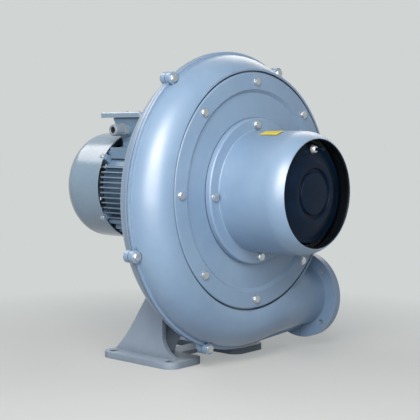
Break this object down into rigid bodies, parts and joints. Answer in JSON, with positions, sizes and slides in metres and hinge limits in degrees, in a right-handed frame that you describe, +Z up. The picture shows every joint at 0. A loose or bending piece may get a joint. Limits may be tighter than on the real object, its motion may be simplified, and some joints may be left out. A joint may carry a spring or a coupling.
{
  "type": "industrial blower",
  "caption": "Centrifugal blower with a round-section cast scroll casing, drum-shaped inlet silencer, flanged tangential outlet, finned motor and cast pedestal foot.",
  "frame": {"origin": "centre of the four foot bolt slots, on the floor plane", "axes": "+Z up; the shaft lies along Y with the inlet towards -Y and the motor towards +Y; the outlet blows towards +X"},
  "size_m": [0.5227, 0.576, 0.5799],
  "materials": {
    "casing_enamel": "blue-grey enamel on cast aluminium, semi-gloss",
    "motor_enamel": "grey-blue enamel on cast aluminium",
    "cowl_enamel": "light silver-grey enamel on pressed steel",
    "pedestal_enamel": "grey-green enamel on cast iron",
    "zinc_steel": "bright zinc plate",
    "machined_steel": "ground steel",
    "bearing_brass": "plain brass",
    "black_enamel": "gloss black enamel",
    "gasket_rubber": "matt rubber sheet",
    "acoustic_foam": "open-cell foam",
    "cast_aluminium": "as cast and machined",
    "core_steel": "varnished laminations",
    "winding_copper": "varnished copper wire",
    "fan_nylon": "moulded, black",
    "gland_nylon": "moulded, grey",
    "label_film": "yellow printed film"
  },
  "bodies": {
    "housing": {"pedestal": "pedestal_enamel", "pedestal_bolts": "zinc_steel", "rear_casing": "casing_enamel", "casing_gasket": "gasket_rubber", "front_casing": "casing_enamel", "clamp_bolts": "zinc_steel", "clamp_nuts": "zinc_steel", "cover_gasket": "gasket_rubber", "front_cover": "casing_enamel", "cover_bolts": "zinc_steel", "inlet_gasket": "gasket_rubber", "inlet_housing": "casing_enamel", "inlet_bolts": "zinc_steel", "silencer_lining": "acoustic_foam", "lining_sleeve": "zinc_steel", "regulator_spider": "black_enamel", "rotation_label": "label_film", "shaft_seal": "gasket_rubber", "drive_end_shield": "motor_enamel", "flange_bolts": "zinc_steel", "drive_bearing_outer_ring": "machined_steel", "fan_bearing_outer_ring": "machined_steel", "motor_frame": "motor_enamel", "stator_core": "core_steel", "stator_windings": "winding_copper", "fan_end_shield": "motor_enamel", "shield_bolts": "zinc_steel", "fan_cowl": "cowl_enamel", "cowl_screws": "zinc_steel", "terminal_box": "motor_enamel", "lid_gasket": "gasket_rubber", "terminal_box_lid": "motor_enamel", "lid_screws": "zinc_steel", "terminal_block": "fan_nylon", "terminal_studs": "bearing_brass", "gland_body": "gland_nylon", "gland_nut": "gland_nylon"},
    "regulator": {"regulator_disc": "black_enamel", "wing_nut": "zinc_steel"},
    "rotor": {"motor_shaft": "machined_steel", "impeller_hub": "cast_aluminium", "impeller_back_plate": "cast_aluminium", "impeller_blades": "cast_aluminium", "impeller_shroud": "cast_aluminium", "impeller_washer": "zinc_steel", "impeller_nut": "zinc_steel", "impeller_key": "machined_steel", "drive_bearing_inner_ring": "machined_steel", "fan_bearing_inner_ring": "machined_steel", "rotor_core": "core_steel", "cooling_fan": "fan_nylon", "fan_clip": "zinc_steel"},
    "drive_cage": {"drive_bearing_balls": "machined_steel", "drive_bearing_cage": "bearing_brass"},
    "fan_cage": {"fan_bearing_balls": "machined_steel", "fan_bearing_cage": "bearing_brass"}
  },
  "joints": [
    {"name": "rotor_spin", "type": "hinge", "parent": "housing", "child": "rotor", "pos_m": [0, 0, 0.325], "axis": [0, 1, 0], "continuous": true},
    {"name": "drive_cage_spin", "type": "hinge", "parent": "housing", "child": "drive_cage", "pos_m": [0, 0, 0.325], "axis": [0, 1, 0], "continuous": true},
    {"name": "fan_cage_spin", "type": "hinge", "parent": "housing", "child": "fan_cage", "pos_m": [0, 0, 0.325], "axis": [0, 1, 0], "continuous": true},
    {"name": "regulator_slide", "type": "slide", "parent": "housing", "child": "regulator", "axis": [0, -1, 0], "range_m": [0, 0.012]}
  ],
  "couplings": [
    {"joint": "drive_cage_spin", "follows": "rotor_spin", "ratio": 0.3824},
    {"joint": "fan_cage_spin", "follows": "rotor_spin", "ratio": 0.3987}
  ]
}
